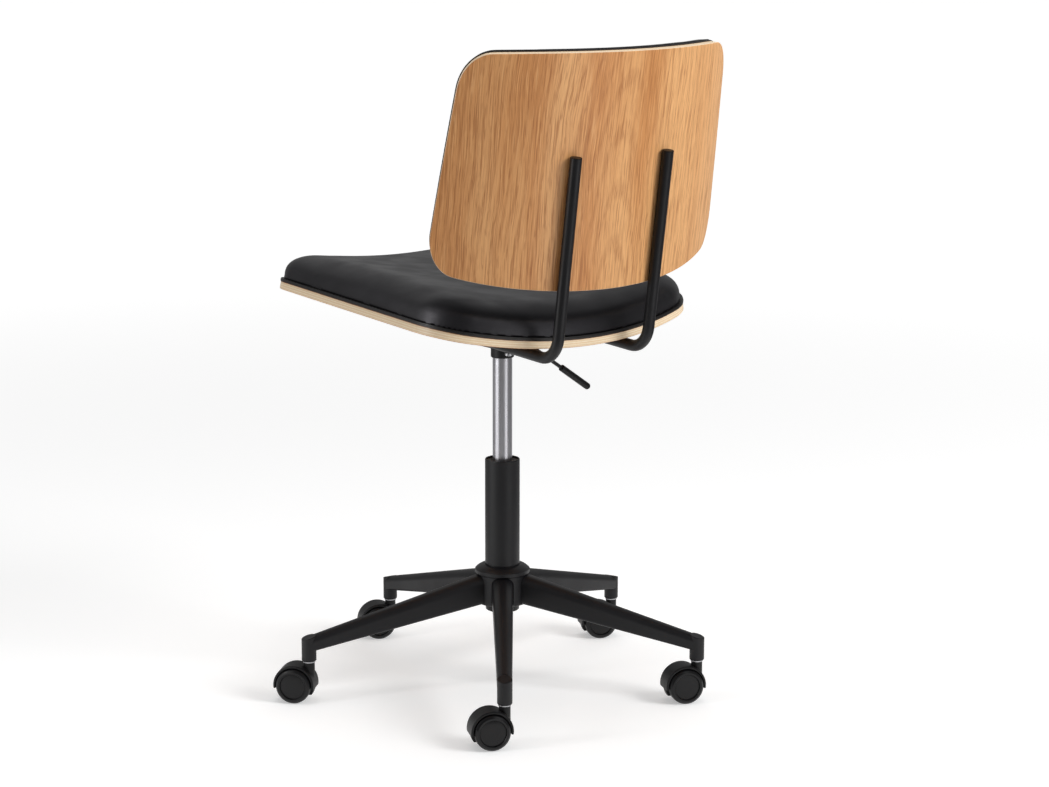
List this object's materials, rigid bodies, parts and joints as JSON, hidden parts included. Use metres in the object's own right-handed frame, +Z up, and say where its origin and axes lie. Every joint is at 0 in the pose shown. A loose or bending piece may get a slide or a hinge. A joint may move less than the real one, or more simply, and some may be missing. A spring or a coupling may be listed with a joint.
{
  "type": "office chair",
  "caption": "Swivel office chair with a curved oak plywood backrest on bent steel tubes, padded plywood seat, gas lift column and star base on twin-wheel casters.",
  "frame": {"origin": "on the floor under the axis of the lift column", "axes": "+Z up along the lift column; the chair faces -Y, and +X is the sitter's left"},
  "size_m": [0.6111, 0.6116, 0.9355],
  "materials": {
    "black_steel": "satin black powder coat",
    "silver_steel": "satin silver-grey",
    "bright_steel": "zinc plated",
    "black_plastic": "fine-textured black",
    "wheel_plastic": "smooth black",
    "bush_plastic": "dark guide plastic",
    "rubber": "soft black",
    "oak_ply": "clear-coated oak veneer on birch ply",
    "birch_ply": "clear-coated birch ply",
    "dark_board": "dark-edged board",
    "black_leather": "smooth black faux leather on foam"
  },
  "bodies": {
    "base": {"base_hub": "black_steel", "base_leg_1": "black_steel", "base_leg_2": "black_steel", "base_leg_3": "black_steel", "base_leg_4": "black_steel", "base_leg_5": "black_steel", "leg_sockets": "black_steel", "socket_sleeves": "black_plastic", "column_tube": "black_steel", "column_bush": "bush_plastic", "thrust_bearing": "bright_steel"},
    "piston": {"piston_rod": "bright_steel", "rod_clip": "bright_steel", "bearing_cap": "bright_steel", "bump_stop": "rubber"},
    "seat": {"gas_cylinder": "silver_steel", "cone_socket": "black_steel", "lift_bracket": "black_steel", "frame_plate": "black_steel", "plate_bolts": "bright_steel", "tube_bolts": "bright_steel", "tee_nuts": "bright_steel", "tube_saddles": "black_plastic", "back_tube_left": "black_steel", "back_tube_right": "black_steel", "tube_end_plugs": "black_plastic", "seat_shell": "birch_ply", "seat_board": "dark_board", "seat_cushion": "black_leather", "back_shell": "oak_ply", "back_board": "dark_board", "back_cushion": "black_leather", "back_bolts": "bright_steel", "back_inserts": "bright_steel", "pivot_pin": "bright_steel"},
    "lever": {"lever_rod": "black_steel", "lever_grip": "black_plastic"},
    "release_pin": {"release_pin": "bright_steel"},
    "caster_1": {"caster_1_housing": "black_plastic", "caster_1_steel": "bright_steel"},
    "caster_1_wheel_a": {"caster_1_wheel_a": "wheel_plastic"},
    "caster_1_wheel_b": {"caster_1_wheel_b": "wheel_plastic"},
    "caster_2": {"caster_2_housing": "black_plastic", "caster_2_steel": "bright_steel"},
    "caster_2_wheel_a": {"caster_2_wheel_a": "wheel_plastic"},
    "caster_2_wheel_b": {"caster_2_wheel_b": "wheel_plastic"},
    "caster_3": {"caster_3_housing": "black_plastic", "caster_3_steel": "bright_steel"},
    "caster_3_wheel_a": {"caster_3_wheel_a": "wheel_plastic"},
    "caster_3_wheel_b": {"caster_3_wheel_b": "wheel_plastic"},
    "caster_4": {"caster_4_housing": "black_plastic", "caster_4_steel": "bright_steel"},
    "caster_4_wheel_a": {"caster_4_wheel_a": "wheel_plastic"},
    "caster_4_wheel_b": {"caster_4_wheel_b": "wheel_plastic"},
    "caster_5": {"caster_5_housing": "black_plastic", "caster_5_steel": "bright_steel"},
    "caster_5_wheel_a": {"caster_5_wheel_a": "wheel_plastic"},
    "caster_5_wheel_b": {"caster_5_wheel_b": "wheel_plastic"}
  },
  "joints": [
    {"name": "seat_swivel", "type": "hinge", "parent": "base", "child": "piston", "pos_m": [0, 0, 0.115], "axis": [0, 0, 1], "continuous": true},
    {"name": "seat_height", "type": "slide", "parent": "piston", "child": "seat", "axis": [0, 0, 1], "range_m": [-0.13, 0]},
    {"name": "lever_lift", "type": "hinge", "parent": "seat", "child": "lever", "pos_m": [-0.026, 0, 0.509], "axis": [0, 1, 0], "range_deg": [0, 7], "stiffness_Nm_per_rad": 1, "springref_deg": -3.44},
    {"name": "release_pin_press", "type": "slide", "parent": "seat", "child": "release_pin", "axis": [0, 0, -1], "range_m": [0, 0.0034]},
    {"name": "caster_1_swivel", "type": "hinge", "parent": "base", "child": "caster_1", "pos_m": [0.17046, 0.23461, 0.06], "axis": [0, 0, 1], "continuous": true},
    {"name": "caster_1_wheel_a_spin", "type": "hinge", "parent": "caster_1", "child": "caster_1_wheel_a", "pos_m": [0.18873, 0.22648, 0.025], "axis": [0.4067, 0.9135, 0], "continuous": true},
    {"name": "caster_1_wheel_b_spin", "type": "hinge", "parent": "caster_1", "child": "caster_1_wheel_b", "pos_m": [0.18873, 0.22648, 0.025], "axis": [0.4067, 0.9135, 0], "continuous": true},
    {"name": "caster_2_swivel", "type": "hinge", "parent": "base", "child": "caster_2", "pos_m": [-0.17046, 0.23461, 0.06], "axis": [0, 0, 1], "continuous": true},
    {"name": "caster_2_wheel_a_spin", "type": "hinge", "parent": "caster_2", "child": "caster_2_wheel_a", "pos_m": [-0.15191, 0.22712, 0.025], "axis": [0.3746, 0.9272, 0], "continuous": true},
    {"name": "caster_2_wheel_b_spin", "type": "hinge", "parent": "caster_2", "child": "caster_2_wheel_b", "pos_m": [-0.15191, 0.22712, 0.025], "axis": [0.3746, 0.9272, 0], "continuous": true},
    {"name": "caster_3_swivel", "type": "hinge", "parent": "base", "child": "caster_3", "pos_m": [-0.27581, -0.08961, 0.06], "axis": [0, 0, 1], "continuous": true},
    {"name": "caster_3_wheel_a_spin", "type": "hinge", "parent": "caster_3", "child": "caster_3_wheel_a", "pos_m": [-0.25754, -0.09775, 0.025], "axis": [0.4067, 0.9135, 0], "continuous": true},
    {"name": "caster_3_wheel_b_spin", "type": "hinge", "parent": "caster_3", "child": "caster_3_wheel_b", "pos_m": [-0.25754, -0.09775, 0.025], "axis": [0.4067, 0.9135, 0], "continuous": true},
    {"name": "caster_4_swivel", "type": "hinge", "parent": "base", "child": "caster_4", "pos_m": [0, -0.29, 0.06], "axis": [0, 0, 1], "continuous": true},
    {"name": "caster_4_wheel_a_spin", "type": "hinge", "parent": "caster_4", "child": "caster_4_wheel_a", "pos_m": [0.01827, -0.29813, 0.025], "axis": [0.4067, 0.9135, 0], "continuous": true},
    {"name": "caster_4_wheel_b_spin", "type": "hinge", "parent": "caster_4", "child": "caster_4_wheel_b", "pos_m": [0.01827, -0.29813, 0.025], "axis": [0.4067, 0.9135, 0], "continuous": true},
    {"name": "caster_5_swivel", "type": "hinge", "parent": "base", "child": "caster_5", "pos_m": [0.27581, -0.08961, 0.06], "axis": [0, 0, 1], "continuous": true},
    {"name": "caster_5_wheel_a_spin", "type": "hinge", "parent": "caster_5", "child": "caster_5_wheel_a", "pos_m": [0.28945, -0.10424, 0.025], "axis": [0.7314, 0.682, 0], "continuous": true},
    {"name": "caster_5_wheel_b_spin", "type": "hinge", "parent": "caster_5", "child": "caster_5_wheel_b", "pos_m": [0.28945, -0.10424, 0.025], "axis": [0.7314, 0.682, 0], "continuous": true}
  ],
  "couplings": [
    {"joint": "release_pin_press", "follows": "lever_lift", "m_per_rad": 0.027}
  ]
}
